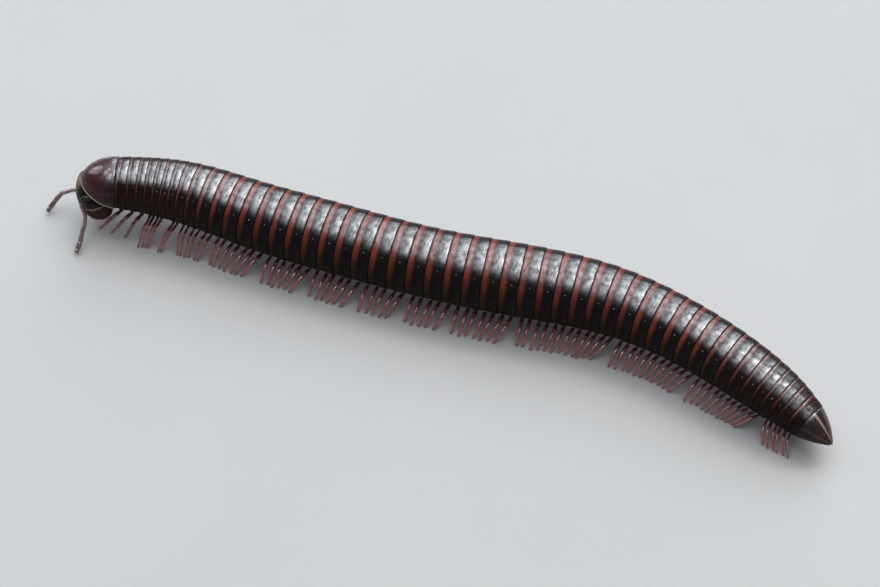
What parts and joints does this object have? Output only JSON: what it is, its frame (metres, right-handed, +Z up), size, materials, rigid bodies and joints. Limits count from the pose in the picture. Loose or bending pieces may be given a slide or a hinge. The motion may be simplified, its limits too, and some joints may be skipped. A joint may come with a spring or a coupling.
{
  "type": "millipede",
  "caption": "Still life-size model of a large round-backed millipede walking on a flat floor, with jointed-looking rings, legs and feelers.",
  "frame": {"origin": "middle of the bounding box, on the floor under the body", "axes": "+X from head to tail along the body, +Z up, so the animal's left side is towards -Y"},
  "size_m": [0.1242, 0.0239, 0.0136],
  "materials": {
    "head": "glossy dark red-brown cuticle",
    "eye": "glossy black cluster of small lenses",
    "antenna": "satin brown-pink cuticle",
    "collum": "glossy dark red-brown cuticle with a pale front edge",
    "rings": "glossy black cuticle with a red-brown band on each ring, and dark pink legs",
    "telson": "glossy black-brown cuticle",
    "valve": "satin dark brown cuticle"
  },
  "bodies": {
    "root": {"head": "head", "eye_left": "eye", "eye_right": "eye", "antenna_left": "antenna", "antenna_right": "antenna", "collum": "collum", "trunk_01": "rings", "trunk_02": "rings", "trunk_03": "rings", "trunk_04": "rings", "trunk_05": "rings", "trunk_06": "rings", "trunk_07": "rings", "trunk_08": "rings", "trunk_09": "rings", "trunk_10": "rings", "telson": "telson", "anal_valve_left": "valve", "anal_valve_right": "valve"}
  },
  "joints": []
}
